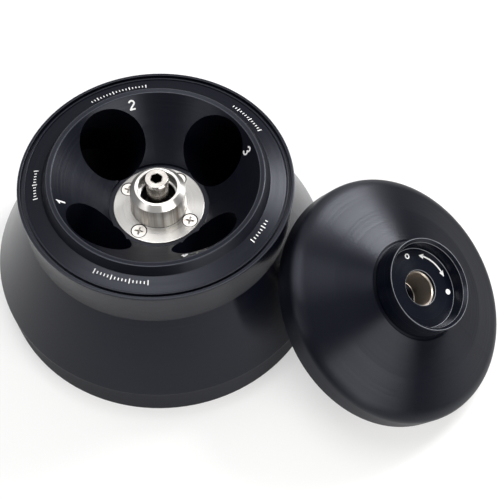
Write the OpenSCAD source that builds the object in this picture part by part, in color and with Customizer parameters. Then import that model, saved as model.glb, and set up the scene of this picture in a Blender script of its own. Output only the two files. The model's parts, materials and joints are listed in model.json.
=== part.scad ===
// Fixed angle rotor for four large centrifuge tubes, with its lid taken off and leaning on it.
// Millimetres. The origin is on the rotor's axis, on the surface that it stands on, with +Z up.

/* [Rotor body] */
// Diameter over the rim
rim_d = 150; // [140:0.5:160]
// Height of the rim's outer edge above the standing surface
rim_z = 90.8; // [86:0.2:98]
// Diameter at the foot of the neck
neck_foot_d = 148.7; // [140:0.1:150]
// Height of the foot of the neck, where the flare begins
neck_foot_z = 66.9; // [60:0.1:72]
// Largest diameter, at the shoulder above the base band
shoulder_d = 193.5; // [188:0.5:204]
// Height of the shoulder
shoulder_z = 22; // [16:0.5:28]
// Diameter of the base
base_d = 190.8; // [184:0.4:200]
// Width of the foot ring
foot_w = 6.8; // [3:0.2:12]
// Depth of the relieved underside inside the foot ring
foot_relief = 1.2; // [0.4:0.2:2.4]
// Diameter of the underside recess at its mouth
recess_d = 80; // [68:1:84]
// Diameter of the underside recess at its ceiling
recess_top_d = 74; // [60:1:78]
// Depth of the underside recess
recess_h = 33; // [22:1:38]

/* [Rim] */
// Width of the outer lip
rim_lip_w = 1.7; // [1:0.1:2.4]
// Width of the annular groove inside the lip
rim_groove_w = 1.6; // [1:0.1:2]
// Depth of the annular groove
rim_groove_h = 2.2; // [1:0.1:3]
// Width of the fine ridge that centres the lid
ridge_w = 1; // [0.6:0.1:1.4]
// Height of the ridge's top below the outer lip
ridge_drop = 0.4; // [0.2:0.1:0.6]
// Height of the deck's outer edge below the outer lip
deck_drop = 0.9; // [0.7:0.1:1.4]
// Rise of the deck from its outer edge to its inner edge
deck_rise = 1.9; // [0.5:0.1:2.5]
// Diameter of the bowl's edge, inside the inner lip
bowl_d = 112; // [106:0.2:118]
// Width of the inner lip's top
inner_lip_w = 2.9; // [2:0.1:4]
// Width of the slope from the deck up to the inner lip
lip_foot_w = 3; // [1:0.1:4]
// Height of the inner lip's top above the outer lip
inner_lip_h = 5.6; // [4:0.1:7]

/* [Bowl] */
// Width of the sunk seat round the hub's flange
seat_w = 2.6; // [1:0.1:4]
// Depth of the seat's floor below the outer lip
seat_drop = 25.9; // [25.4:0.1:27]
// Height of the upright wall round the seat, where the bowl's cone ends
seat_wall_h = 1.5; // [0.5:0.1:2.5]

/* [Tube pockets] */
// Number of tube pockets
pocket_count = 4; // [2:2:4]
// Bore of a tube pocket
pocket_d = 39; // [37:0.25:39]
// Tilt of a pocket from the rotor's axis
pocket_tilt = 28; // [27:0.25:28.5]
// Distance of a pocket's axis from the rotor's axis, level with the middle of its mouth
pocket_mouth_r = 40.6; // [40:0.1:41]
// Depth of the middle of a pocket's mouth below the outer lip
pocket_mouth_drop = 10.8; // [10:0.2:12]
// Length of a pocket's axis from its mouth to the centre of its round bottom
pocket_l = 64; // [50:1:64]
// Direction of the first pocket
pocket_first = 43.3; // [35:0.1:50]

/* [Hub] */
// Width of the flange outside the hub screws' countersinks
flange_edge = 0.6; // [0.4:0.1:2]
// Thickness of the flange
flange_h = 4; // [3.6:0.1:5]
// Height of the flange's top above the seat's floor
flange_proud = 0.8; // [0.2:0.1:1.2]
// Diameter of the collar below its chamfer
collar_d = 30.8; // [29:0.1:32]
// Taper of the collar, as the growth of its radius down to its foot
collar_taper = 0.3; // [0:0.1:0.6]
// Height of the collar above the flange
collar_h = 17.3; // [15:0.1:19]
// Height of the chamfer round the collar's top
collar_chamfer = 2.9; // [2:0.1:3]
// Wall between the spigot below the flange and the hub screws
spigot_wall = 0.65; // [0.4:0.05:1.2]
// Height of the spigot's lower end above the standing surface
spigot_z = 3; // [2:0.5:8]
// Bore of the hub for the drive shaft
drive_bore_d = 20; // [18:0.5:21]
// Length of the drive bore
drive_bore_l = 27; // [20:1:28]
// Diameter of the relief above the drive bore
nose_d = 17; // [15:0.5:18]
// Width of the drive slots across the spigot's end
drive_slot_w = 5; // [3:0.5:7]
// Depth of the drive slots
drive_slot_h = 6; // [3:0.5:8]

/* [Lid lock in the collar] */
// Radial clearance of the lid's sleeve in the collar
sleeve_gap = 0.4; // [0.2:0.1:0.6]
// Depth by which the sleeve's crests and the lock lands overlap
lock_grip = 0.9; // [0.6:0.1:1]
// Height of one land
land_h = 2.2; // [1.4:0.1:2.6]
// Spacing of the lands
land_pitch = 4.8; // [4.6:0.1:5.2]
// Depth of the upper land below the collar's top
land_drop = 7.4; // [7:0.1:8]
// Length of the hub's bore below the lands
chamber_l = 12.1; // [10:0.1:14]

/* [Hub screws] */
// Space between the hub screws' countersinks and the collar's foot
screw_inset = 0.1; // [0:0.05:0.5]
// Direction of the first hub screw
screw_first = 61.5; // [50:0.5:72]
// Thread diameter of a hub screw
screw_d = 5; // [4:0.5:5]
// Diameter of a hub screw's head
screw_head_d = 8; // [7.6:0.1:8.8]
// Depth of a hub screw's head below the flange's top
screw_sink = 0.25; // [0.1:0.05:0.4]
// Radial clearance round a hub screw's head
screw_fit = 0.25; // [0.1:0.05:0.4]
// Length of a hub screw
screw_l = 14; // [12:1:15]
// Width of the cross recess over its arms
cross_w = 5; // [4:0.1:5.4]
// Width of one arm of the cross recess
cross_arm = 1.1; // [0.8:0.1:1.4]

/* [Fixing screw] */
// Diameter of the fixing screw's head
bolt_head_d = 13.6; // [13:0.1:13.8]
// Height of the head's top above the outer lip
bolt_top = 0; // [-2:0.2:2]
// Thickness of the head's rim, above its neck
bolt_rim_h = 1; // [0.6:0.1:3]
// Diameter of the neck under the head
bolt_neck_d = 12.2; // [11:0.1:13]
// Width across flats of the hexagon socket
socket_af = 6; // [5:0.5:8]
// Direction of one of the socket's corners at rest
socket_turn = 25; // [0:1:60]
// Depth of the hexagon socket
socket_h = 6; // [4:0.5:8]
// Radial clearance of the collar that keeps the screw in the hub
bolt_collar_gap = 0.5; // [0.3:0.1:0.8]
// Thickness of that collar
bolt_collar_h = 3; // [2:0.1:3.4]
// Diameter of the screw's shank
shank_d = 11.9; // [10:0.1:12]
// Length of the shank below the screw's collar
shank_l = 22; // [18:1:26]
// Thickness of the thrust washer under the screw's collar
washer_h = 1.5; // [1:0.1:1.6]
// Thickness of the retaining rings
ring_h = 1.2; // [1:0.1:1.4]

/* [Lid] */
// Radial clearance of the lid inside the rim's ridge
lid_clearance = 0.2; // [0.1:0.1:0.6]
// Height of the lid's upright edge, before its rounding
lid_edge_h = 11.9; // [10.9:0.1:12.5]
// Rounding between the upright edge and the shoulder
lid_edge_round = 5; // [3:0.5:5]
// Width of the sloping shoulder
lid_shoulder_w = 3.6; // [3.4:0.1:5]
// Rounding between the shoulder and the dome
lid_shoulder_round = 12; // [6:1:12]
// Height of the dome halfway in
dome_mid_h = 21.9; // [21:0.1:22.6]
// Height of the dome at the knob
dome_h = 28; // [27:0.1:29]
// Thickness of the dome
dome_wall = 4; // [3:0.2:5]
// Radial clearance of the lid's bearing on the knob's sleeve
bearing_fit = 0.08; // [0.05:0.01:0.1]
// Length of that bearing
bearing_l = 10; // [8:0.5:11]
// Radial clearance of the lid round the inner lip
lid_fit = 0.4; // [0.2:0.1:0.6]
// Thickness of the lid's sealing ring
seal_d = 3; // [2.4:0.1:3.4]
// Tilt of the lid where it leans on the rotor
lid_lean = 29.5; // [27:0.1:32]
// Direction in which the lid's top faces
lid_faces = -21.1; // [-30:0.1:-12]
// Direction of the lid's middle from the rotor's axis
lid_dir = -17.2; // [-24:0.2:-10]
// Space between the lid's edge and the rotor's neck
lid_gap = 0.7; // [0.2:0.1:0.9]

/* [Lid knob] */
// Diameter of the knob at its foot
knob_foot_d = 54; // [52:0.2:55]
// Diameter of the knob at its top edge
knob_d = 51.4; // [50:0.2:52]
// Height of the knob's top above the dome
knob_h = 13; // [10.5:0.1:15]
// Height of the recess's floor above the dome
knob_floor_h = 4; // [3.5:0.1:5]
// Depth of the bevel inside the knob's edge
knob_bevel = 2.4; // [1.4:0.1:2.8]
// Width of that bevel
knob_bevel_w = 2; // [1.4:0.1:3]
// Distance by which the recess narrows from its bevel to its floor
knob_taper = 1.4; // [0.6:0.1:2]
// Width by which the knob's floor overlaps the top of its sleeve
knob_lip_w = 0.6; // [0.3:0.1:0.8]
// Thickness of the knob's floor above its sleeve
knob_lip_h = 2; // [1:0.1:2.6]
// Width of the sliding washer under the knob
slide_w = 11.3; // [8:0.1:12]
// Outer diameter of the knob's sleeve
sleeve_d = 21; // [20.6:0.1:21.6]
// Wall of the sleeve's upper part
sleeve_wall = 1.3; // [1.1:0.1:1.7]
// Radial clearance of the fixing screw's head in the sleeve's lower part
head_gap = 0.5; // [0.4:0.1:0.9]
// Height at which the sleeve's bore narrows
sleeve_step_z = 14; // [12:0.5:16]
// Length of the sleeve below the lid's lower face
sleeve_drop = 25; // [22.5:0.5:26]

/* [Hidden] */
$fn = 96;
eps = 0.01;
edge = 0.6;

foot_in_d = base_d - 2 * edge - 2 * foot_w;
rim_r = rim_d / 2;
groove_out_r = rim_r - rim_lip_w;
ridge_out_r = groove_out_r - rim_groove_w;
ridge_in_r = ridge_out_r - ridge_w;
inner_lip_d = bowl_d + 2 * inner_lip_w;
deck_in_d = inner_lip_d + 2 * lip_foot_w;
deck_z = rim_z - deck_drop;
deck_in_z = deck_z + deck_rise;
inner_top_z = rim_z + inner_lip_h;
bowl_top_z = inner_top_z - 0.4;
seat_z = rim_z - seat_drop;
cone_foot_z = seat_z + seat_wall_h;
flange_z = seat_z + flange_proud;
flange_foot_z = flange_z - flange_h;
flange_gap = 0.2;
spigot_gap = 0.05;

pocket_mouth_z = rim_z - pocket_mouth_drop;
pocket_reach = 70;

collar_z = flange_z + collar_h;
collar_bore_d = sleeve_d + 2 * sleeve_gap;
collar_bevel = min(collar_chamfer, (collar_d - collar_bore_d) / 2 - edge);
land_d = sleeve_d - 2 * lock_grip;
chamber_d = land_d + 0.2;
land_1_z = collar_z - land_drop - land_h;
land_2_z = land_1_z - land_pitch;
chamber_z = land_2_z - chamber_l;
bolt_collar_d = chamber_d - 2 * bolt_collar_gap;
bolt_collar_z = chamber_z + washer_h + 0.1;
ring_z = bolt_collar_z + bolt_collar_h + 0.8;
hub_ring_d = chamber_d + 1.4;
bolt_top_z = rim_z + bolt_top;
bolt_chamfer = 0.7;
bolt_step_h = 0.4;
nose_z = spigot_z + drive_bore_l;
nose_l = 14;
shank_hole_d = shank_d + 0.7;
washer_bore_d = shank_d + 0.5;
washer_d = chamber_d - 0.4;

// The retaining rings, with lugs on both sides of their gap
ring_play = 0.1;
ring_gap_angle = 14;
lug_angle = 14;
lug_d = 3;
lug_hole_d = 1.2;
screw_ring_in_d = bolt_head_d + 2.6;
screw_ring_out_d = hub_ring_d - 0.2;
screw_lug_r = hub_ring_d / 2 - 1.8;

screw_head_h = (screw_head_d - screw_d) / 2;
screw_rim_h = 0.1;
screw_hole_d = screw_d + 0.5;
tapped_d = screw_d + 0.1;
sink_h = screw_head_h + screw_rim_h + screw_sink + eps;
sink_d = screw_d + 2 * screw_fit + 2 * sink_h;
cross_h = 2;
cross_turn = 20;
collar_foot_d = collar_d + 2 * collar_taper;
screw_pcd = collar_foot_d + sink_d + 2 * screw_inset;
flange_d = screw_pcd + sink_d + 2 * flange_edge;
seat_d = flange_d + 2 * seat_w;
spigot_d = screw_pcd - screw_hole_d - 2 * spigot_wall;

// The lid's face follows the deck's slope, apart from a narrow flat foot at its edge
lid_r = ridge_in_r - lid_clearance;
lid_edge_r = 0.3;
lid_draft = 0.3;
lid_in_r = deck_in_d / 2 + lid_fit;
lid_foot_w = min(1.5, (lid_r - lid_in_r) / 2);
deck_slope = deck_rise / (ridge_in_r - deck_in_d / 2);
lid_seat_z = deck_z + deck_slope * (lid_clearance + lid_foot_w);
lid_face_in_z = deck_slope * (lid_r - lid_foot_w - lid_in_r);
lid_corner_w = 2;
lid_ceiling = inner_top_z - lid_seat_z + 0.7;
dome_mid_r = (lid_r + knob_foot_d / 2) / 2;
seal_r = (inner_lip_d + bowl_d) / 4;
seal_w = seal_d + 0.4;
seal_z = lid_ceiling + seal_d / 2 - 0.9;
seal_slot_h = seal_d - 0.8;
bearing_d = sleeve_d + 2 * bearing_fit;
skirt_w = 2.5;
boss_w = 8;
boss_r = sleeve_d / 2 + boss_w;
dome_flat_z = dome_h - 0.3;
boss_z = dome_flat_z - bearing_l;
dome_bulge = 60;

// The knob turns on a sliding washer that lies in a recess under it
knob_gap = 0.3;
slide_h = 1;
slide_in_r = sleeve_d / 2 + 0.2;
slide_out_r = slide_in_r + slide_w;
slide_recess_r = slide_out_r + 1;
slide_recess_z = dome_flat_z + slide_h + 0.1;
knob_z = dome_h + knob_h;
knob_floor_z = dome_h + knob_floor_h;
knob_recess_r = knob_d / 2 - knob_bevel_w;
knob_hole_r = sleeve_d / 2 - knob_lip_w;
sleeve_top_z = knob_floor_z - knob_lip_h;
sleeve_bore_d = sleeve_d - 2 * sleeve_wall;
sleeve_low_d = bolt_head_d + 2 * head_gap;
sleeve_ring_z = boss_z - 0.2 - ring_h;
sleeve_ring_depth = 1;
sleeve_ring_in_d = sleeve_d - 2 * sleeve_ring_depth + ring_play;
sleeve_ring_out_d = sleeve_d + 5;
sleeve_lug_r = sleeve_d / 2 + 2.6;
thread_top_z = 6;

// The sleeve's two crests fit above the collar's upper land and between the two lands
crest_gap = 0.15;
crest_h = land_pitch - land_h - 2 * crest_gap;
crest_1_z = land_1_z - crest_gap - crest_h - lid_seat_z;
crest_2_z = crest_1_z + land_pitch;
sleeve_root_d = land_d - 0.6;

// Radius of the rotor's outside at height z
function outside(z) = z > neck_foot_z
  ? neck_foot_d / 2 + (rim_d - neck_foot_d) / 2 * (z - neck_foot_z) / (rim_z - neck_foot_z)
  : z > shoulder_z
  ? shoulder_d / 2 - (shoulder_d - neck_foot_d) / 2 * (z - shoulder_z) / (neck_foot_z - shoulder_z)
  : shoulder_d / 2;

// The lid stands on the rounded corner of its edge, and leans towards the rotor's neck
lid_h = (lid_r - lid_edge_r) * sin(lid_lean) + lid_edge_r * (1 - cos(lid_lean));
lid_touch_z = lid_h + lid_r * sin(lid_lean);
lid_turn = lid_faces - lid_dir;
lid_reach = lid_r * norm([cos(lid_lean) * cos(lid_turn), sin(lid_turn)]);
lid_distance = outside(lid_touch_z - 2) + lid_gap + lid_reach;
lid_at = [lid_distance * cos(lid_dir), lid_distance * sin(lid_dir), lid_h];

function unit(v) = v / norm(v);

// Points of corner p between a and b, rounded to radius r in n steps
function corner(a, p, b, r, n) = r <= 0 ? [p] :
  let (
    u = unit(a - p),
    v = unit(b - p),
    half = acos(u * v) / 2,
    s = p + u * r / tan(half),
    e = p + v * r / tan(half),
    m = p + unit(u + v) * r / sin(half),
    a0 = atan2(s.y - m.y, s.x - m.x),
    a1 = atan2(e.y - m.y, e.x - m.x),
    d = (a1 - a0 + 540) % 360 - 180
  )
  [for (i = [0:n]) m + r * [cos(a0 + d * i / n), sin(a0 + d * i / n)]];

// Length of straight edge that a rounding of radius r at corner p takes up
function taken(a, p, b, r) = r <= 0 ? eps : r / tan(acos(unit(a - p) * unit(b - p)) / 2);

// A closed outline from [radius, height, rounding] corners. Where two roundings would run past each
// other on the edge between them, both are limited by its length.
function rounded(c, n = 4) =
  let (
    m = len(c),
    p = [for (k = c) [k.x, k.y]],
    t = [for (i = [0:m - 1]) taken(p[(i + m - 1) % m], p[i], p[(i + 1) % m], c[i].z)],
    share = [for (i = [0:m - 1]) let (j = (i + 1) % m) norm(p[j] - p[i]) / (t[i] + t[j])]
  )
  [for (i = [0:m - 1])
    let (r = c[i].z * min(1, share[i], share[(i + m - 1) % m]))
    each corner(p[(i + m - 1) % m], p[i], p[(i + 1) % m], r, n)];

// A turned solid from [radius, height, rounding] corners
module turned(c, n = 4) {
  rotate_extrude() polygon(rounded(c, n));
}

module at_each(count, first) {
  for (i = [0:count - 1]) rotate(first + 360 / count * i) children();
}

// A round-bottomed bore whose round bottom is centred on the origin
module round_bore(d, l) {
  rotate_extrude()
    intersection() {
      union() {
        circle(d = d);
        translate([-d / 2, 0]) square([d, l]);
      }
      translate([0, -d]) square([d, l + d]);
    }
}

module tube_pockets() {
  at_each(pocket_count, pocket_first)
    translate([pocket_mouth_r, 0, pocket_mouth_z])
      rotate([0, -pocket_tilt, 0])
        translate([0, 0, -pocket_l]) round_bore(pocket_d, pocket_l + pocket_reach);
}

module rotor_body() {
  color([0.13, 0.13, 0.15])
    difference() {
      turned([
        [spigot_d / 2 + spigot_gap, recess_h, 0.4],
        [recess_top_d / 2, recess_h, 3],
        [recess_d / 2, foot_relief, 0.5],
        [foot_in_d / 2, foot_relief, 0],
        [foot_in_d / 2, 0, 0],
        [base_d / 2 - edge, 0, 0],
        [base_d / 2, edge, 0],
        [shoulder_d / 2, shoulder_z, 1.5],
        [neck_foot_d / 2, neck_foot_z, 0],
        [rim_r, rim_z, edge],
        [groove_out_r, rim_z, 0.2],
        [groove_out_r, rim_z - rim_groove_h, 0],
        [ridge_out_r, rim_z - rim_groove_h, 0],
        [ridge_out_r, rim_z - ridge_drop, 0.2],
        [ridge_in_r, rim_z - ridge_drop, 0.2],
        [ridge_in_r, deck_z, 0],
        [deck_in_d / 2, deck_in_z, 0.5],
        [inner_lip_d / 2, inner_top_z, 0.8],
        [bowl_d / 2, bowl_top_z, 0.8],
        [seat_d / 2, cone_foot_z, 0],
        [seat_d / 2, seat_z, 0],
        [flange_d / 2 + flange_gap, seat_z, 0],
        [flange_d / 2 + flange_gap, flange_foot_z, 0],
        [spigot_d / 2 + spigot_gap, flange_foot_z, 0]
      ]);
      tube_pockets();
      at_each(4, screw_first)
        translate([screw_pcd / 2, 0, flange_z - screw_l - 1]) cylinder(d = tapped_d, h = screw_l);
    }
}

module hub() {
  color([0.78, 0.77, 0.75])
    difference() {
      turned([
        [shank_hole_d / 2, chamber_z, 0],
        [shank_hole_d / 2, nose_z + nose_l, 0],
        [nose_d / 2, nose_z + nose_l, 0],
        [nose_d / 2, nose_z, 0],
        [drive_bore_d / 2, nose_z, 0],
        [drive_bore_d / 2, spigot_z, 0],
        [spigot_d / 2 - 1, spigot_z, 0],
        [spigot_d / 2, spigot_z + 1, 0],
        [spigot_d / 2, flange_foot_z, 0],
        [flange_d / 2, flange_foot_z, 0],
        [flange_d / 2, flange_z, 0.5],
        [collar_foot_d / 2, flange_z, 0],
        [collar_d / 2, collar_z - collar_bevel, 0.3],
        [collar_d / 2 - collar_bevel, collar_z, 0.3],
        [collar_bore_d / 2, collar_z, 0.3],
        [collar_bore_d / 2, land_1_z + land_h, 0],
        [land_d / 2, land_1_z + land_h - 0.3, 0.2],
        [land_d / 2, land_1_z + 0.3, 0.2],
        [collar_bore_d / 2, land_1_z, 0],
        [collar_bore_d / 2, land_2_z + land_h, 0],
        [land_d / 2, land_2_z + land_h - 0.3, 0.2],
        [land_d / 2, land_2_z + 0.3, 0.2],
        [chamber_d / 2, land_2_z, 0],
        [chamber_d / 2, ring_z + ring_h, 0],
        [hub_ring_d / 2, ring_z + ring_h, 0],
        [hub_ring_d / 2, ring_z, 0],
        [chamber_d / 2, ring_z, 0],
        [chamber_d / 2, chamber_z, 0]
      ]);
      translate([-spigot_d, -drive_slot_w / 2, spigot_z - 1])
        cube([2 * spigot_d, drive_slot_w, drive_slot_h + 1]);
      at_each(4, screw_first)
        translate([screw_pcd / 2, 0, flange_z]) {
          translate([0, 0, -flange_h - 1]) cylinder(d = screw_hole_d, h = flange_h + 2);
          translate([0, 0, -screw_sink - screw_rim_h - screw_head_h])
            cylinder(d1 = screw_d + 2 * screw_fit, d2 = sink_d, h = sink_h);
        }
    }
}

// One countersunk screw with a cross recess, number i round the hub
module hub_screw(i) {
  color([0.8, 0.79, 0.77])
    rotate(screw_first + 90 * i)
      translate([screw_pcd / 2, 0, flange_z - screw_sink])
        difference() {
          turned([
            [0, 0, 0],
            [0, -screw_l, 0],
            [screw_d / 2 - edge, -screw_l, 0],
            [screw_d / 2, -screw_l + edge, 0],
            [screw_d / 2, -screw_rim_h - screw_head_h, 0],
            [screw_head_d / 2, -screw_rim_h, 0],
            [screw_head_d / 2, 0, 0]
          ]);
          intersection() {
            translate([0, 0, -cross_h]) cylinder(d1 = cross_w / 2, d2 = cross_w, h = cross_h + eps);
            union() {
              for (a = [cross_turn, cross_turn + 90])
                rotate(a) translate([-cross_w / 2, -cross_arm / 2, -cross_h])
                  cube([cross_w, cross_arm, cross_h + 1]);
            }
          }
        }
}

module fixing_screw() {
  color([0.74, 0.73, 0.71])
    difference() {
      turned([
        [0, bolt_top_z, 0],
        [0, bolt_collar_z - shank_l, 0],
        [shank_d / 2 - 1, bolt_collar_z - shank_l, 0],
        [shank_d / 2, bolt_collar_z - shank_l + 1, 0],
        [shank_d / 2, bolt_collar_z, 0],
        [bolt_collar_d / 2, bolt_collar_z, 0.3],
        [bolt_collar_d / 2, bolt_collar_z + bolt_collar_h, 0.3],
        [bolt_neck_d / 2, bolt_collar_z + bolt_collar_h, 0.5],
        [bolt_neck_d / 2, bolt_top_z - bolt_rim_h - bolt_chamfer - bolt_step_h, 0],
        [bolt_head_d / 2, bolt_top_z - bolt_rim_h - bolt_chamfer, 0],
        [bolt_head_d / 2, bolt_top_z - bolt_chamfer, 0.2],
        [bolt_head_d / 2 - bolt_chamfer, bolt_top_z, 0.2]
      ]);
      translate([0, 0, bolt_top_z - socket_h])
        rotate(socket_turn) cylinder(d = socket_af / cos(30), h = socket_h + 1, $fn = 6);
    }
}

// A flat ring
module flat_ring(d_in, d_out, h) {
  difference() {
    cylinder(d = d_out, h = h);
    translate([0, 0, -1]) cylinder(d = d_in, h = h + 2);
  }
}

// A retaining ring with an open gap and two lugs, whose centres lie lug_r from its axis
module open_ring(d_in, d_out, h, lug_r) {
  difference() {
    union() {
      flat_ring(d_in, d_out, h);
      for (s = [-1, 1])
        rotate(lug_angle * s) translate([lug_r, 0, 0]) cylinder(d = lug_d, h = h);
    }
    rotate(-ring_gap_angle / 2) translate([0, 0, -1])
      rotate_extrude(angle = ring_gap_angle)
        translate([d_in / 2 - lug_d, 0]) square([d_out, h + 2]);
    for (s = [-1, 1])
      rotate(lug_angle * s) translate([lug_r, 0, -1]) cylinder(d = lug_hole_d, h = h + 2);
  }
}

module thrust_washer() {
  color([0.72, 0.6, 0.35])
    translate([0, 0, chamber_z]) flat_ring(washer_bore_d, washer_d, washer_h);
}

module screw_ring() {
  color([0.35, 0.35, 0.37])
    translate([0, 0, ring_z + ring_play / 2])
      open_ring(screw_ring_in_d, screw_ring_out_d, ring_h - ring_play, screw_lug_r);
}

// Places what is drawn in the lid's own frame, lower face at zero, on the leaning lid
module on_lid() {
  translate(lid_at) rotate([0, 0, lid_faces]) rotate([0, lid_lean, 0]) children();
}

module lid_shell() {
  color([0.15, 0.15, 0.17])
    on_lid() turned([
      [lid_r, 0, lid_edge_r],
      [lid_r - lid_draft, lid_edge_h, lid_edge_round],
      [lid_r - lid_draft - lid_shoulder_w, lid_edge_h + lid_shoulder_w, lid_shoulder_round],
      [dome_mid_r, dome_mid_h, dome_bulge],
      [knob_foot_d / 2 + edge + 1, dome_h, 0.5],
      [knob_foot_d / 2 + edge, dome_flat_z, 0],
      [bearing_d / 2, dome_flat_z, 0],
      [bearing_d / 2, boss_z, 0],
      [boss_r, boss_z, 1],
      [boss_r, dome_h - dome_wall, 2],
      [dome_mid_r, dome_mid_h - dome_wall, 8],
      [bowl_d / 2 - skirt_w, lid_ceiling, 0.5],
      [seal_r - seal_w / 2, lid_ceiling, 0],
      [seal_r - seal_w / 2, lid_ceiling + seal_slot_h, 0],
      [seal_r + seal_w / 2, lid_ceiling + seal_slot_h, 0],
      [seal_r + seal_w / 2, lid_ceiling, 0],
      [lid_in_r - lid_corner_w, lid_ceiling, 1],
      [lid_in_r, lid_face_in_z, 0.3],
      [lid_r - lid_foot_w, 0, 0]
    ], 6);
}

module lid_seal() {
  color([0.1, 0.1, 0.1])
    on_lid() rotate_extrude() translate([seal_r, seal_z]) circle(d = seal_d);
}

module lid_knob() {
  color([0.1, 0.11, 0.13])
    on_lid() turned([
      [sleeve_d / 2, slide_recess_z, 0],
      [slide_recess_r, slide_recess_z, 0],
      [slide_recess_r, dome_flat_z + knob_gap, 0],
      [knob_foot_d / 2, dome_flat_z + knob_gap, 0.5],
      [knob_d / 2, knob_z, 0.4],
      [knob_recess_r, knob_z - knob_bevel, 0.2],
      [knob_recess_r - knob_taper, knob_floor_z, 0.5],
      [knob_hole_r, knob_floor_z, 0.3],
      [knob_hole_r, sleeve_top_z, 0],
      [sleeve_d / 2, sleeve_top_z, 0]
    ]);
}

module knob_sleeve() {
  color([0.76, 0.75, 0.73])
    on_lid() turned([
      [sleeve_bore_d / 2, sleeve_step_z, 0],
      [sleeve_low_d / 2, sleeve_step_z - 1, 0],
      [sleeve_low_d / 2, -sleeve_drop, 0.3],
      [sleeve_root_d / 2, -sleeve_drop, 0.5],
      [sleeve_root_d / 2, crest_1_z, 0],
      [sleeve_d / 2, crest_1_z + 0.3, 0.2],
      [sleeve_d / 2, crest_1_z + crest_h - 0.3, 0.2],
      [sleeve_root_d / 2, crest_1_z + crest_h, 0],
      [sleeve_root_d / 2, crest_2_z, 0],
      [sleeve_d / 2, crest_2_z + 0.3, 0.2],
      [sleeve_d / 2, crest_2_z + crest_h - 0.3, 0.2],
      [sleeve_root_d / 2, crest_2_z + crest_h, 0],
      [sleeve_root_d / 2, thread_top_z, 0],
      [sleeve_d / 2, thread_top_z + 1, 0],
      [sleeve_d / 2, sleeve_ring_z, 0],
      [sleeve_d / 2 - sleeve_ring_depth, sleeve_ring_z, 0],
      [sleeve_d / 2 - sleeve_ring_depth, sleeve_ring_z + ring_h, 0],
      [sleeve_d / 2, sleeve_ring_z + ring_h, 0],
      [sleeve_d / 2, sleeve_top_z, 0.2],
      [sleeve_bore_d / 2 + edge, sleeve_top_z, 0],
      [sleeve_bore_d / 2, sleeve_top_z - edge, 0]
    ]);
}

module knob_washer() {
  color([0.85, 0.84, 0.78])
    on_lid() translate([0, 0, dome_flat_z]) flat_ring(2 * slide_in_r, 2 * slide_out_r, slide_h);
}

module sleeve_ring() {
  color([0.35, 0.35, 0.37])
    on_lid() translate([0, 0, sleeve_ring_z + ring_play / 2])
      open_ring(sleeve_ring_in_d, sleeve_ring_out_d, ring_h - ring_play, sleeve_lug_r);
}

rotor_body();
hub();
hub_screw(0);  // hub_screw_1
hub_screw(1);  // hub_screw_2
hub_screw(2);  // hub_screw_3
hub_screw(3);  // hub_screw_4
fixing_screw();
thrust_washer();
screw_ring();
lid_shell();
lid_seal();
lid_knob();
knob_sleeve();
knob_washer();
sleeve_ring();
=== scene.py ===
"""Looks of a fixed angle rotor and its lid: finishes, numerals, graduations, signs and studio.

Lengths are in metres, in the rotor's own frame: +Z up its axis, the surface it stands on at zero.
"""

import json
import math

import bpy
import numpy as np
from mathutils import Matrix


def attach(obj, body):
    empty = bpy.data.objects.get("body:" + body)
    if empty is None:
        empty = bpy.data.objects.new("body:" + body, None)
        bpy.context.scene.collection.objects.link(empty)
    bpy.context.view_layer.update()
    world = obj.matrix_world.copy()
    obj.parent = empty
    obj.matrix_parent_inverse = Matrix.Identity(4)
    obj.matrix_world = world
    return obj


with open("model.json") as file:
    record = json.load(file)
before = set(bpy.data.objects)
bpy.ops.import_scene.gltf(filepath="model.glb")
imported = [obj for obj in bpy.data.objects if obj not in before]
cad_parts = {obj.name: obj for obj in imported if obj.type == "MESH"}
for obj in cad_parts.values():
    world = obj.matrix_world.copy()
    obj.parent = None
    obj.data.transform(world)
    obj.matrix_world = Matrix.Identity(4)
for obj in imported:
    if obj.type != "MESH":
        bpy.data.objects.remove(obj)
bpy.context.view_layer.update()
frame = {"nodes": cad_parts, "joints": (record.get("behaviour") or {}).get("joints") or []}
nodes = frame["nodes"]
MM = 0.001

# Where the lid lies: its axis is the one that its knob turns about
KNOB_JOINT = next(joint for joint in frame["joints"] if joint["name"] == "lid_knob_turn")
LID_AT = np.array(KNOB_JOINT["pos_m"])
LID_AXIS = np.array(KNOB_JOINT["axis"]) / np.linalg.norm(KNOB_JOINT["axis"])
LID_SIDE = np.cross([0.0, 0.0, 1.0], LID_AXIS)
LID_SIDE /= np.linalg.norm(LID_SIDE)
LID_RISE = np.cross(LID_AXIS, LID_SIDE)

# Rotor sizes and counts that the dressing follows; the deck's two edges are (radius, height)
BOWL_EDGE_R = 56.0 * MM
BOWL_EDGE_Z = 96.0 * MM
BOWL_ANGLE = math.radians(43.2)
DECK_OUT = np.array([70.7, 89.9]) * MM
DECK_IN = np.array([61.9, 91.8]) * MM
POCKET_FIRST = math.radians(43.3)
POCKET_COUNT = 4
KNOB_FLOOR = 32.0 * MM
HUB_SCREWS = 4


def mm(*lengths):
    """Millimetres as metres."""
    return tuple(length * MM for length in lengths)


def placed(x, y, z, place):
    """A matrix that turns an object's axes to x, y and z and moves it to place."""
    matrix = np.eye(4)
    matrix[:3] = np.stack([x, y, z, place], axis=1)
    return Matrix(matrix.tolist())


# ---------------------------------------------------------------- camera

# Side of the square render and focal length, both in pixels
PICTURE = 500
FOCAL = 1016.5
SENSOR = 36.0
CAMERA_ELEVATION = math.radians(58.30)
CAMERA_ROLL = math.radians(2.033)
CAMERA_OFFSET = np.array([-50.66, -38.77, 550.12]) * MM
RIM_TOP = np.array([0.0, 0.0, 90.8]) * MM
CLIP_NEAR = 0.01
CLIP_FAR = 50.0


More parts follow.
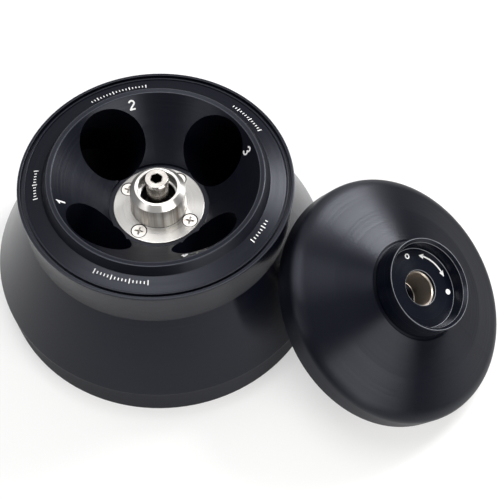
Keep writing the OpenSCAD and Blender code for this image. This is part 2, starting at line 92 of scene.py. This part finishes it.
def set_camera():
    """The camera looks down at the rotor. The rows of view are its directions right, down and away:
    a tilt by the elevation, then a roll about the line of sight. Along them, from the camera, the
    middle of the rim's top lies at CAMERA_OFFSET."""
    tilt_cos, tilt_sin = math.cos(CAMERA_ELEVATION), math.sin(CAMERA_ELEVATION)
    roll_cos, roll_sin = math.cos(CAMERA_ROLL), math.sin(CAMERA_ROLL)
    tilt = np.array([[1, 0, 0], [0, -tilt_sin, -tilt_cos], [0, tilt_cos, -tilt_sin]])
    roll = np.array([[roll_cos, -roll_sin, 0], [roll_sin, roll_cos, 0], [0, 0, 1]])
    view = roll @ tilt
    data = bpy.data.cameras.new("camera")
    data.sensor_width = SENSOR
    data.lens = FOCAL / PICTURE * SENSOR
    data.clip_start = CLIP_NEAR
    data.clip_end = CLIP_FAR
    camera = bpy.data.objects.new("camera", data)
    bpy.context.scene.collection.objects.link(camera)
    camera.matrix_world = placed(view[0], -view[1], -view[2], RIM_TOP - view.T @ CAMERA_OFFSET)
    bpy.context.scene.camera = camera


# ---------------------------------------------------------------- shader nodes

class NodeTree:
    """A tree of shader nodes, with short calls that add nodes and wire them."""

    def __init__(self, tree):
        self.tree = tree
        self.tree.nodes.clear()

    def add(self, kind, inputs=None, **settings):
        """A new node; a value in inputs is a number, a vector or another node's socket."""
        node = self.tree.nodes.new(kind)
        for key, value in settings.items():
            setattr(node, key, value)
        for key, value in (inputs or {}).items():
            if isinstance(value, bpy.types.NodeSocket):
                self.tree.links.new(value, node.inputs[key])
            else:
                node.inputs[key].default_value = value
        return node

    def number(self, operation, first, second):
        """The result of an operation on two numbers."""
        return self.add("ShaderNodeMath", {0: first, 1: second}, operation=operation).outputs[0]

    def vector(self, operation, *values, **named):
        """The vector result of a vector operation."""
        inputs = {**dict(enumerate(values)), **named}
        return self.add("ShaderNodeVectorMath", inputs, operation=operation).outputs["Vector"]

    def measure(self, operation, *values):
        """The number that a vector operation gives, such as a length or a dot product."""
        inputs = dict(enumerate(values))
        return self.add("ShaderNodeVectorMath", inputs, operation=operation).outputs["Value"]

    def rescale(self, value, span, target=(0.0, 1.0), **settings):
        """value, moved from the range span into the range target and held there."""
        inputs = {"Value": value, "From Min": span[0], "From Max": span[1],
                  "To Min": target[0], "To Max": target[1]}
        return self.add("ShaderNodeMapRange", inputs, clamp=True, **settings).outputs["Result"]

    def between(self, value, low, high, soft):
        """One where value lies between low and high, fading to zero over the width soft."""
        rise = self.rescale(value, (low - soft, low))
        fall = self.rescale(value, (high, high + soft), (1.0, 0.0))
        return self.number("MULTIPLY", rise, fall)

    def noise(self, where, scale, detail, roughness):
        """A noise with its middle near one half."""
        inputs = {"Vector": where, "Scale": scale, "Detail": detail, "Roughness": roughness}
        return self.add("ShaderNodeTexNoise", inputs).outputs["Fac"]

    def mix(self, amount, first, second):
        """A colour between first and second."""
        return self.add("ShaderNodeMix", {0: amount, 6: first, 7: second}, data_type="RGBA").outputs[2]

    def bump(self, strength, depth, height, under=None):
        """A normal that a height roughens, on top of the normal under it where there is one."""
        inputs = {"Height": height, "Strength": strength, "Distance": depth}
        if under is not None:
            inputs["Normal"] = under
        return self.add("ShaderNodeBump", inputs).outputs["Normal"]


class Finish(NodeTree):
    """A material under construction."""

    def __init__(self, name):
        self.material = bpy.data.materials.new(name)
        self.material.use_nodes = True
        super().__init__(self.material.node_tree)
        self.output = self.add("ShaderNodeOutputMaterial")

    def close(self, shader):
        """The finished material."""
        self.tree.links.new(shader.outputs[0], self.output.inputs["Surface"])
        return self.material


# Widths, of radius and of height, over which a zone's change fades out
GLOSS_FADE = mm(0.4, 0.4)
COLOUR_FADE = mm(0.1, 0.15)
# A painted edge highlight keeps its full colour over this share of its width
EDGE_CORE = 0.4
# Painted shade in bands like a thread's: the shares of the pitch between which they darken, and the least
# darkness
BAND_SPAN = (0.35, 0.65)
BAND_LEAST = 0.15
# Painted reflections in upright streaks: fineness of their noise, its values between which they set in, and
# the strongest
STREAK_SCALE = 5.0
STREAK_SPAN = (0.42, 0.62)
STREAK_MOST = 0.85

# Colours of painted shade and of painted reflections on steel
SHADOW_BLACK = (0.006, 0.006, 0.008, 1.0)
REFLECTION_BROWN = (0.36, 0.31, 0.26, 1.0)


class TurnedFinish(Finish):
    """A finish that follows a lathe's work: here is a point of the piece, outward its arm from the
    axis, radius that arm's length, height how far along the axis it lies, and circle the last two
    as one vector. A zone is a ring of the piece, given by its smallest and largest radius and its
    lowest and highest level."""

    def __init__(self, name, point, axis):
        super().__init__(name)
        self.here = self.add("ShaderNodeTexCoord").outputs["Object"]
        arm = self.vector("SUBTRACT", self.here, point)
        self.height = self.measure("DOT_PRODUCT", arm, axis)
        self.outward = self.vector("SUBTRACT", arm, self.vector("SCALE", axis, Scale=self.height))
        self.radius = self.measure("LENGTH", self.outward)
        pair = self.add("ShaderNodeCombineXYZ", {"X": self.radius, "Y": self.height})
        self.circle = pair.outputs["Vector"]
        around = self.add("ShaderNodeVectorTransform", {"Vector": self.vector("CROSS_PRODUCT", axis, arm)},
                          vector_type="VECTOR", convert_from="OBJECT", convert_to="WORLD")
        self.tangent = self.vector("NORMALIZE", around.outputs["Vector"])

    def inside(self, zone, fade):
        """One in a zone, fading to zero past it."""
        near, far, low, high = zone
        return self.number("MULTIPLY", self.between(self.radius, near, far, fade[0]),
                           self.between(self.height, low, high, fade[1]))

    def reglossed(self, gloss, zones):
        """gloss, with the number that follows each zone added to it there."""
        for *zone, change in zones:
            added = self.number("MULTIPLY", self.inside(zone, GLOSS_FADE), change)
            gloss = self.number("ADD", gloss, added)
        return gloss

    def edge_highlighted(self, tone, highlight_edges, colour):
        """tone, turning to colour along edges of a given radius, height and width: painted edge highlights.
        """
        for radius, level, width in highlight_edges:
            away = self.measure("DISTANCE", self.circle, (radius, level, 0.0))
            tone = self.mix(self.rescale(away, (EDGE_CORE * width, width), (1.0, 0.0)), tone, colour)
        return tone

    def shaded(self, tone, zones):
        """tone, turned dull and dark by painted shade in each zone: all over where the pitch that follows it
        is zero, otherwise in painted bands of shade that repeat at twice the pitch, like a thread's."""
        for *zone, pitch in zones:
            deep = self.inside(zone, COLOUR_FADE)
            if pitch:
                band = self.number("PINGPONG", self.height, pitch)
                band = self.rescale(band, (BAND_SPAN[0] * pitch, BAND_SPAN[1] * pitch), (BAND_LEAST, 1.0))
                deep = self.number("MULTIPLY", deep, band)
            tone = self.mix(deep, tone, SHADOW_BLACK)
        return tone

    def reflection_streaked(self, tone, zones):
        """tone, with painted reflections in upright streaks in each zone: a noise of the direction from the
        axis alone.
        """
        for zone in zones:
            way = self.vector("NORMALIZE", self.outward)
            reflection = self.noise(way, STREAK_SCALE, detail=3.0, roughness=0.6)
            reflection = self.rescale(reflection, STREAK_SPAN, (0.0, STREAK_MOST))
            reflection = self.number("MULTIPLY", reflection, self.inside(zone, COLOUR_FADE))
            tone = self.mix(reflection, tone, REFLECTION_BROWN)
        return tone


# ---------------------------------------------------------------- finishes

# Values of a noise between which a tone or the gloss changes
TONE_SPAN = (0.35, 0.65)
CLOUD_SPAN = (0.4, 0.7)
GLOSS_SPAN = (0.3, 0.7)

# Turned faces: depth of marks and grain, how much coarser the toned marks are than the cut ones,
# the cloud's fineness and strength, and how far the gloss strays from its mean
MARK_DEPTH = 0.06 * MM
GRAIN_DEPTH = 0.08 * MM
TONE_COARSER = 9
TURNED_CLOUD = 18.0
TURNED_CLOUD_MOST = 0.5
TURNED_STRAY = (-0.03, 0.04)
QUARTER_TURN = 0.25

# Plain faces: strength, fineness and depth of the grain, the cloud's fineness and darkness, and how
# far the gloss strays from its mean
PLAIN_GRAIN = 0.15
PLAIN_GRAIN_SCALE = 1500.0
PLAIN_GRAIN_DEPTH = 0.05 * MM
PLAIN_CLOUD = 60.0
PLAIN_SHADE = 0.25
PLAIN_STRAY = (-0.04, 0.04)


def grey(value, warmth=0.0):
    """A near neutral colour; warmth above zero leans to yellow and below zero to blue."""
    return (value * (1 + warmth), value, value * (1 - warmth), 1.0)


def darker(colour, shade):
    """A colour with the share shade of its light taken away."""
    return tuple(part * (1 - shade) for part in colour[:3]) + (1.0,)


def around_mean(mean, stray):
    """The range that strays from a mean by the two numbers of stray."""
    return mean + stray[0], mean + stray[1]


def turned_finish(name, colour, roughness, anisotropy, marks, grain, metallic=0.0, mark_scale=1400.0,
                  grain_scale=1800.0, specular=0.5, shine=(1.0, 1.0, 1.0, 1.0), shade=0.25,
                  highlight_edges=(), highlight_colour=None, painted_shade_zones=(), reflection_zones=(), gloss_zones=(),
                  point=(0, 0, 0), axis=(0, 0, 1)):
    """A lathe-turned surface. Its marks are a noise of distance from the axis and height along it
    alone, so they run round the axis as circles; a finer noise in space gives the etched grain. The
    gloss is stretched across the marks, with the direction round the axis as its tangent. What the
    lists of edges and zones hold is said where TurnedFinish reads them."""
    coat = TurnedFinish(name, point, axis)
    fine = coat.noise(coat.circle, mark_scale, detail=3.0, roughness=0.6)
    broad = coat.noise(coat.circle, mark_scale / TONE_COARSER, detail=2.0, roughness=0.5)
    speck = coat.noise(coat.here, grain_scale, detail=2.0, roughness=0.6)
    cloud = coat.noise(coat.here, TURNED_CLOUD, detail=3.0, roughness=0.5)
    cut = coat.bump(marks, MARK_DEPTH, fine)
    dark = darker(colour, shade)
    tone = coat.mix(coat.rescale(broad, TONE_SPAN), dark, colour)
    tone = coat.mix(coat.rescale(cloud, CLOUD_SPAN, (0.0, TURNED_CLOUD_MOST)), tone, dark)
    # Painted highlights along edges
    tone = coat.edge_highlighted(tone, highlight_edges, highlight_colour)
    # Painted shade in deep and hidden zones, and in bands like a thread's
    tone = coat.shaded(tone, painted_shade_zones)
    gloss = coat.rescale(fine, GLOSS_SPAN, around_mean(roughness, TURNED_STRAY))
    # The base colour carries painted reflections in upright streaks
    return coat.close(coat.add("ShaderNodeBsdfPrincipled", {
        "Base Color": coat.reflection_streaked(tone, reflection_zones), "Roughness": coat.reglossed(gloss, gloss_zones),
        "Metallic": metallic, "Anisotropic": anisotropy, "Anisotropic Rotation": QUARTER_TURN,
        "Specular IOR Level": specular, "Specular Tint": shine,
        "Normal": coat.bump(grain, GRAIN_DEPTH, speck, cut), "Tangent": coat.tangent}))


def plain_finish(name, colour, roughness, metallic=0.0):
    """A moulded, painted or pressed surface: one colour with a faint cloud and a fine grain."""
    coat = Finish(name)
    here = coat.add("ShaderNodeTexCoord").outputs["Object"]
    speck = coat.noise(here, PLAIN_GRAIN_SCALE, detail=2.0, roughness=0.6)
    cloud = coat.noise(here, PLAIN_CLOUD, detail=3.0, roughness=0.5)
    tone = coat.mix(coat.rescale(cloud, TONE_SPAN), colour, darker(colour, PLAIN_SHADE))
    return coat.close(coat.add("ShaderNodeBsdfPrincipled", {
        "Base Color": tone, "Roughness": coat.rescale(speck, GLOSS_SPAN, around_mean(roughness, PLAIN_STRAY)),
        "Metallic": metallic, "Normal": coat.bump(PLAIN_GRAIN, PLAIN_GRAIN_DEPTH, speck)}))


# Tint of the anodised faces' shine, and colours of the painted highlights on the edges of knob and rim
COLD_SHINE = (0.84, 0.87, 1.0, 1.0)
KNOB_EDGE_HIGHLIGHT = (0.20, 0.21, 0.23, 1.0)
RIM_EDGE_HIGHLIGHT = (0.03, 0.032, 0.04, 1.0)
LID_PLACE = dict(point=tuple(LID_AT), axis=tuple(LID_AXIS))

# Painted shade: parts painted dark where faces lie deep, hidden or in a crease, in bands where a thread's
# shade is painted; a zone and its bands' pitch
HUB_SHADE = [mm(0, 11, 50, 74.6, 0), mm(15.95, 25.2, 50, 65.62, 0),
             mm(0, 11, 74.6, 81, 0.45), mm(15.68, 15.8, 65.6, 65.8, 0)]
BOLT_SHADE = [mm(0, 3.6, 70, 90.7, 0), mm(0, 7, 70, 82, 0.5)]
SLEEVE_SHADE = [mm(0, 9.02, -30, 14, 0)]
SCREW_SHADE = [mm(10, 30, 40, 63.4, 0)]

# Walls painted with upright streaks of painted reflection: a zone each
HUB_REFLECTION_STREAKS = [mm(14, 15.85, 66, 80)]
BOLT_REFLECTION_STREAKS = [mm(3.6, 8, 70, 87)]

# The body's outside is smoother than its bowl and its base band duller: a zone and the number that
# is added to the roughness there
BODY_GLOSS = [(*mm(72, 110, 22, 89), -0.13), (*mm(72, 110, -5, 21.5), 0.3)]

# Painted highlights along edges: radius, height and width of the bright line
RIM_HIGHLIGHTS = [mm(74.7, 90.6, 0.35), mm(73.35, 90.75, 0.22), mm(71.7, 90.35, 0.22),
             mm(58.6, 96.2, 0.4), mm(56.3, 95.9, 0.4)]
KNOB_HIGHLIGHTS = [mm(25.42, 40.3, 0.22), mm(23.7, 38.6, 0.2), mm(22.3, 32.1, 0.25), mm(10, 31.9, 0.25)]

body_black = turned_finish(
    "hard_anodised_body", (0.0014, 0.0020, 0.0056, 1.0), roughness=0.33, anisotropy=0.55,
    marks=0.6, mark_scale=800.0, grain=0.14, specular=0.31, shine=COLD_SHINE,
    highlight_edges=RIM_HIGHLIGHTS, highlight_colour=RIM_EDGE_HIGHLIGHT, gloss_zones=BODY_GLOSS)
lid_black = turned_finish(
    "hard_anodised_lid", (0.0016, 0.0021, 0.0056, 1.0), roughness=0.33, anisotropy=0.93,
    marks=0.9, mark_scale=650.0, grain=0.36, grain_scale=1300.0, specular=0.31, shine=COLD_SHINE,
    **LID_PLACE)
knob_black = turned_finish(
    "hard_anodised_knob", (0.0012, 0.0020, 0.0062, 1.0), roughness=0.24, anisotropy=0.6,
    marks=0.15, grain=0.08, specular=0.35, shine=COLD_SHINE,
    highlight_edges=KNOB_HIGHLIGHTS, highlight_colour=KNOB_EDGE_HIGHLIGHT, **LID_PLACE)
hub_steel = turned_finish(
    "turned_steel", (0.90, 0.88, 0.85, 1.0), roughness=0.30, anisotropy=0.85, metallic=1.0,
    marks=0.5, mark_scale=1500.0, grain=0.06, shade=0.12,
    painted_shade_zones=HUB_SHADE, reflection_zones=HUB_REFLECTION_STREAKS)
bolt_steel = turned_finish(
    "turned_screw_steel", (0.62, 0.585, 0.55, 1.0), roughness=0.24, anisotropy=0.7, metallic=1.0,
    marks=0.5, mark_scale=1500.0, grain=0.06, shade=0.15,
    painted_shade_zones=BOLT_SHADE, reflection_zones=BOLT_REFLECTION_STREAKS)
sleeve_steel = turned_finish(
    "turned_sleeve_steel", (0.74, 0.66, 0.58, 1.0), roughness=0.30, anisotropy=0.7, metallic=1.0,
    marks=0.4, mark_scale=1500.0, grain=0.06, shade=0.15, painted_shade_zones=SLEEVE_SHADE, **LID_PLACE)
screw_steel = turned_finish(
    "screw_steel", (0.80, 0.77, 0.73, 1.0), roughness=0.36, anisotropy=0.3, metallic=0.95,
    marks=0.0, grain=0.1, shade=0.1, painted_shade_zones=SCREW_SHADE)
ring_steel = plain_finish("phosphated_steel", grey(0.09), roughness=0.45, metallic=0.6)
bronze = plain_finish("bronze", (0.55, 0.36, 0.14, 1.0), roughness=0.35, metallic=1.0)
nylon = plain_finish("natural_nylon", grey(0.72, warmth=0.06), roughness=0.5)
seal_rubber = plain_finish("seal_rubber", grey(0.018), roughness=0.55)
marking_white = plain_finish("marking_white", grey(0.86), roughness=0.5)


def dress(node, material):
    """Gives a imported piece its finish."""
    slots = nodes[node].data.materials
    slots.clear()
    slots.append(material)


dress("rotor_body", body_black)
dress("hub", hub_steel)
for screw in range(HUB_SCREWS):
    dress("hub_screw_%d" % (screw + 1), screw_steel)
dress("fixing_screw", bolt_steel)
dress("thrust_washer", bronze)
dress("screw_ring", ring_steel)
dress("lid_shell", lid_black)
dress("lid_seal", seal_rubber)
dress("lid_knob", knob_black)
dress("knob_sleeve", sleeve_steel)
dress("knob_washer", nylon)
dress("sleeve_ring", ring_steel)


# ---------------------------------------------------------------- markings

# A marking is an inlay: heights of its underside and its top over the face that carries it
PAINT = mm(-0.05, 0.10)
# A bar's bends reach out to no more than its half width divided by this
MITRE_LEAST = 0.4


def joined(parts):
    """Several (points, faces) pairs as one."""
    points, faces, count = [], [], 0
    for some_points, some_faces in parts:
        points.append(some_points)
        faces.extend([int(corner) + count for corner in face] for face in some_faces)
        count += len(some_points)
    return np.vstack(points), faces


def mesh_object(name, points, faces, material):
    """An object from an array of points and lists of corner numbers."""
    mesh = bpy.data.meshes.new(name)
    mesh.from_pydata(points.tolist(), [], faces)
    mesh.update()
    mesh.materials.append(material)
    thing = bpy.data.objects.new(name, mesh)
    bpy.context.scene.collection.objects.link(thing)
    return thing


def add_marking(name, parts, body):
    """A white marking made of (points, faces) pairs, which moves with a body."""
    piece = mesh_object(name, *joined(parts), marking_white)
    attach(piece, body)


def inlay(path, half_width, low, high, place):
    """A flat bar carried along a path of (u, v) points: at each point the corners stand half_width to
    either side, along the path's own mitred normal, from height low to height high. place turns
    (u, v, height) arrays into points in space. Returns the points and the faces of the closed bar."""
    path = np.asarray(path, float)
    step = np.diff(path, axis=0)
    step /= np.linalg.norm(step, axis=1)[:, None]
    before = np.vstack([step[:1], step])
    after = np.vstack([step, step[-1:]])
    middle = before + after
    middle /= np.linalg.norm(middle, axis=1)[:, None]
    reach = half_width / np.maximum(MITRE_LEAST, (middle * before).sum(axis=1))
    side = np.stack([-middle[:, 1], middle[:, 0]], axis=1) * reach[:, None]
    corners = np.stack([path + side, path + side, path - side, path - side], axis=1)
    heights = np.broadcast_to([low, high, high, low], corners.shape[:2])
    points = place(corners[..., 0].ravel(), corners[..., 1].ravel(), heights.ravel())
    start = 4 * np.arange(len(path) - 1)[:, None]
    corner = np.arange(4)[None, :]
    following = (corner + 1) % 4
    faces = np.stack([start + corner, start + following, start + 4 + following, start + 4 + corner], axis=-1)
    ends = np.array([[3, 2, 1, 0], [0, 1, 2, 3]]) + np.array([[0], [4 * (len(path) - 1)]])
    return points, np.vstack([faces.reshape(-1, 4), ends])


def on_bowl(azimuth, radius):
    """Places (u, v, height) on the bowl's cone, round a point of it at an azimuth and a radius: u runs
    round it clockwise, v up its slope and height square to it. The distance from the axis grows by
    v sin - height cos of the cone's angle, and the level by v cos + height sin."""
    sine, cosine = math.sin(BOWL_ANGLE), math.cos(BOWL_ANGLE)
    level = BOWL_EDGE_Z + (radius - BOWL_EDGE_R) / math.tan(BOWL_ANGLE)

    def place(u, v, height):
        out = radius + v * sine - height * cosine
        angle = azimuth - u / radius
        rise = v * cosine + height * sine
        return np.stack([out * np.cos(angle), out * np.sin(angle), level + rise], axis=1)

    return place


def on_deck(u, v, height):
    """Places (angle, radius, height) on the rim's deck, whose level rises evenly from its outer edge
    to its inner one."""
    level = DECK_OUT[1] + (DECK_OUT[0] - v) / (DECK_OUT[0] - DECK_IN[0]) * (DECK_IN[1] - DECK_OUT[1])
    return np.stack([v * np.cos(u), v * np.sin(u), level + height], axis=1)


def on_knob_floor(u, v, height):
    """Places (angle, radius, height) on the floor of the knob's recess: radius times the angle's
    cosine along the lid's side, radius times its sine along the lid's rise, and the floor's level
    plus height along the lid's axis."""
    flat = (v * np.cos(u))[:, None] * LID_SIDE + (v * np.sin(u))[:, None] * LID_RISE
    return LID_AT + flat + (KNOB_FLOOR + height)[:, None] * LID_AXIS


# Numerals in the order of the pockets, and how far each stands from its pocket, in degrees
NUMERAL_OFFSETS = {3: -20.9, 2: -23.6, 1: -22.4, 4: -22.4}
NUMERAL_HEIGHT = 5.4 * MM
NUMERAL_STROKE = 0.48 * MM
NUMERAL_RADIUS = 52.3 * MM
STROKE_STEPS = 3
ARC_POINTS = 14


def arc(centre, radius, start, end):
    """Points on an oval's arc: centre plus the two radii times the cosine and the sine of an angle
    that runs evenly from start to end, in degrees."""
    angle = np.radians(np.linspace(start, end, ARC_POINTS))
    return np.stack([centre[0] + radius[0] * np.cos(angle), centre[1] + radius[1] * np.sin(angle)], axis=1)


def numeral_strokes(number):
    """The pen strokes of a numeral one unit high, with its middle at zero."""
    if number == 1:
        return [np.array([[-0.20, 0.27], [0.0, 0.38], [0.08, 0.5], [0.08, -0.5]])]
    if number == 2:
        hook = arc((0.0, 0.21), (0.26, 0.25), 165, -30)
        return [np.vstack([hook, [[-0.05, -0.2], [-0.26, -0.44]]]), np.array([[-0.32, -0.44], [0.3, -0.44]])]
    if number == 3:
        upper = arc((-0.01, 0.23), (0.24, 0.22), 160, -90)
        lower = arc((-0.01, -0.22), (0.27, 0.24), 90, -160)
        return [upper, lower]
    return [np.array([[-0.33, -0.2], [0.33, -0.2]]), np.array([[0.14, -0.5], [0.14, 0.5]]),
            np.array([[0.14, 0.46], [-0.28, -0.18]])]


def refined(stroke):
    """A stroke with each of its straight stretches cut into equal steps, so that it follows the cone."""
    stretches = zip(stroke[:-1], stroke[1:])
    return np.vstack([np.linspace(a, b, STROKE_STEPS + 1)[:-1] for a, b in stretches] + [stroke[-1:]])


def add_pocket_numbers():
    """A numeral beside each pocket, its top towards the rim."""
    for index, (number, offset) in enumerate(NUMERAL_OFFSETS.items()):
        azimuth = POCKET_FIRST + index * 2 * math.pi / POCKET_COUNT + math.radians(offset)
        place = on_bowl(azimuth, NUMERAL_RADIUS)
        parts = [inlay(refined(stroke) * NUMERAL_HEIGHT, NUMERAL_STROKE, *PAINT, place)
                 for stroke in numeral_strokes(number)]
        add_marking("pocket_number_%d" % number, parts, "rotor")


# Stretches of the deck that carry graduations: first and last angle, in degrees
DECK_SCALES = ((99.8, 128.3), (32.7, 52.4), (178.5, 194.7), (324.5, 337.2), (245.5, 270.8))
TICK_PITCH = math.radians(1.6)
TICK_WIDTH = 0.27 * MM
TICK_POINTS = 3
LONG_TICK = mm(64.0, 66.6)
SHORT_TICK = mm(64.6, 66.0)
LONG_EVERY = 5


def deck_tick(angle, inner, outer):
    """A tick on the deck at an angle, between two radii: a bar along the radius, whose width is laid
    round the deck as a length divided by the radius."""
    def place(u, v, height):
        return on_deck(angle + u / v, v, height)

    path = np.stack([np.zeros(TICK_POINTS), np.linspace(inner, outer, TICK_POINTS)], axis=1)
    return inlay(path, TICK_WIDTH, *PAINT, place)


def add_deck_scales():
    """Groups of plain graduation ticks round the deck, every fifth one longer."""
    for index, (first, last) in enumerate(DECK_SCALES):
        span = math.radians(last - first)
        count = int(span / TICK_PITCH)
        parts = [deck_tick(math.radians(first) + span * tick / count,
                           *(SHORT_TICK if tick % LONG_EVERY else LONG_TICK)) for tick in range(count + 1)]
        add_marking("deck_scale_%d" % (index + 1), parts, "rotor")


ARROW_RADIUS = 18.5 * MM
ARROW_ANGLES = (-36.0, 27.3)
ARROW_HALF = 0.45 * MM
ARROW_POINTS = 40
HEAD_LENGTH = 3.2 * MM
HEAD_HALF = 1.5 * MM
# Share of a head's length that the bar leaves free at the tip
HEAD_FREE = 0.8


def on_arrow(u, v, height):
    """Places (length round the arrow's circle, radius, height) on the knob's floor."""
    return on_knob_floor(u / ARROW_RADIUS, v, height)


def arrow_head(tip, base):
    """A flat triangle from its tip to its base, two angles, as a closed prism."""
    u = np.array([tip, base, base]) * ARROW_RADIUS
    v = ARROW_RADIUS + np.array([0.0, HEAD_HALF, -HEAD_HALF])
    corners = np.vstack([on_arrow(u, v, np.full(3, height)) for height in PAINT])
    faces = [[0, 1, 2], [5, 4, 3], [0, 3, 4, 1], [1, 4, 5, 2], [2, 5, 3, 0]]
    if tip > base:
        faces = [face[::-1] for face in faces]
    return corners, faces


def add_knob_arrow():
    """A curved double arrow on the knob's floor: an arc bar and two flat triangles along its ends."""
    head = HEAD_LENGTH / ARROW_RADIUS
    low, high = (math.radians(angle) for angle in ARROW_ANGLES)
    along = np.linspace(low + head * HEAD_FREE, high - head * HEAD_FREE, ARROW_POINTS) * ARROW_RADIUS
    bar = np.stack([along, np.full(ARROW_POINTS, ARROW_RADIUS)], axis=1)
    parts = [inlay(bar, ARROW_HALF, *PAINT, on_arrow), arrow_head(low, low + head),
             arrow_head(high, high - head)]
    add_marking("knob_arrow", parts, "lid_knob")


# Signs past the arrow's ends: angle in degrees, outer and inner radius. The filled disc keeps a hole
# too small to see, so that all of its faces have four corners.
OPEN_SIGN = (52.0, *mm(1.55, 0.85))
SHUT_SIGN = (-63.0, *mm(1.55, 0.01))
SIGN_POINTS = 32


def ring_sign(angle, outer, inner):
    """A flat ring on the knob's floor: four circles, outer low and high and inner high and low, with
    quads from each one to the next and from the last to the first."""
    turn = np.linspace(0.0, 2 * math.pi, SIGN_POINTS + 1)[:-1]
    middle = ARROW_RADIUS * np.array([math.cos(math.radians(angle)), math.sin(math.radians(angle))])
    circles = []
    for radius, height in ((outer, PAINT[0]), (outer, PAINT[1]), (inner, PAINT[1]), (inner, PAINT[0])):
        x, y = middle[0] + radius * np.cos(turn), middle[1] + radius * np.sin(turn)
        circles.append(on_knob_floor(np.arctan2(y, x), np.hypot(x, y), np.full(SIGN_POINTS, height)))
    here = np.arange(SIGN_POINTS)
    after = (here + 1) % SIGN_POINTS
    faces = [np.stack([row + here, row + after, above + after, above + here], axis=1)
             for row, above in SIGN_POINTS * np.array([[0, 1], [1, 2], [2, 3], [3, 0]])]
    return np.vstack(circles), np.vstack(faces)


def add_knob_signs():
    """Two plain signs on the knob's floor, an open ring and a filled disc."""
    add_marking("open_sign", [ring_sign(*OPEN_SIGN)], "lid_knob")
    add_marking("shut_sign", [ring_sign(*SHUT_SIGN)], "lid_knob")


add_pocket_numbers()
add_deck_scales()
add_knob_arrow()
add_knob_signs()


# ---------------------------------------------------------------- studio

FLOOR_HALF = 8.0
FLOOR_DROP = 0.3 * MM
FLOOR_GLOW = 0.5
FLOOR_PAPER = 0.88


def add_floor():
    """A wide pale floor, partly glowing for the eye and for mirrors, so it shows white but keeps
    the shade that the rotor and the lid throw on it. It lies just under the rotor's foot."""
    coat = Finish("floor_white")
    ray = coat.add("ShaderNodeLightPath").outputs
    seen = coat.number("MAXIMUM", ray["Is Camera Ray"], ray["Is Glossy Ray"])
    seen = coat.number("MAXIMUM", seen, ray["Is Transmission Ray"])
    paper = coat.add("ShaderNodeBsdfDiffuse", {"Color": grey(FLOOR_PAPER)}).outputs[0]
    glow = coat.add("ShaderNodeEmission", {"Color": grey(1.0), "Strength": 1.0}).outputs[0]
    shown = coat.add("ShaderNodeMixShader", {0: FLOOR_GLOW, 1: paper, 2: glow}).outputs[0]
    coat.close(coat.add("ShaderNodeMixShader", {0: seen, 1: paper, 2: shown}))
    corners = FLOOR_HALF * np.array([[-1, -1, 0], [1, -1, 0], [1, 1, 0], [-1, 1, 0]], float)
    floor = mesh_object("floor", corners, [[0, 1, 2, 3]], coat.material)
    floor.location.z = -FLOOR_DROP


# The room's light: for each direction, its share from and to, and the strength from and to
ROOM_FADES = {"Z": ((0.0, 1.0), (0.02, 0.5)), "Y": ((-0.2, 1.0), (0.0, 0.22))}


def add_room():
    """A plain room, brightest overhead and behind the object, dimmest low down in front."""
    world = bpy.data.worlds.new("room")
    bpy.context.scene.world = world
    world.use_nodes = True
    room = NodeTree(world.node_tree)
    way = room.add("ShaderNodeSeparateXYZ", {0: room.add("ShaderNodeTexCoord").outputs["Generated"]})
    fades = [room.rescale(way.outputs[side], span, target, interpolation_type="SMOOTHSTEP")
             for side, (span, target) in ROOM_FADES.items()]
    light = room.add("ShaderNodeBackground", {"Strength": room.number("ADD", *fades)})
    room.add("ShaderNodeOutputWorld", {"Surface": light.outputs[0]})


LAMP_AIM = np.array([0.05, 0.0, 0.06])
PLAIN_LIGHT = (1.0, 1.0, 1.0)
WARM_LIGHT = (1.0, 0.99, 0.94)
# Azimuth and elevation in degrees, distance, size, radiance and colour
SOFT_BOXES = {
    "key_soft_box": (44, 38.5, 1.2, (0.40, 0.50), 20.0, PLAIN_LIGHT),
    "right_soft_box": (-47, 32, 1.1, (0.8, 0.7), 4.4, WARM_LIGHT),
    "top_soft_box": (150, 80, 1.1, (0.55, 0.55), 5.0, PLAIN_LIGHT),
    "front_soft_box": (-145, 40, 1.1, (0.5, 0.4), 2.4, PLAIN_LIGHT),
    "back_soft_box": (112, 60, 1.1, (0.75, 0.45), 1.1, PLAIN_LIGHT),
}


def add_soft_box(name, azimuth, elevation, distance, size, radiance, colour):
    """A rectangular lamp that faces LAMP_AIM from the given direction and shines evenly."""
    lamp = bpy.data.lights.new(name, "AREA")
    lamp.shape = "RECTANGLE"
    lamp.size, lamp.size_y = size
    lamp.energy = radiance * math.pi * size[0] * size[1]
    lamp.color = colour
    thing = bpy.data.objects.new(name, lamp)
    turn, rise = math.radians(azimuth), math.radians(elevation)
    back = np.array([math.cos(rise) * math.cos(turn), math.cos(rise) * math.sin(turn), math.sin(rise)])
    side = np.cross([0, 0, 1.0], back)
    side /= np.linalg.norm(side)
    thing.matrix_world = placed(side, np.cross(back, side), back, LAMP_AIM + distance * back)
    bpy.context.scene.collection.objects.link(thing)


set_camera()
add_floor()
add_room()
for box_name, box_values in SOFT_BOXES.items():
    add_soft_box(box_name, *box_values)
bpy.context.scene.view_settings.view_transform = "Standard"
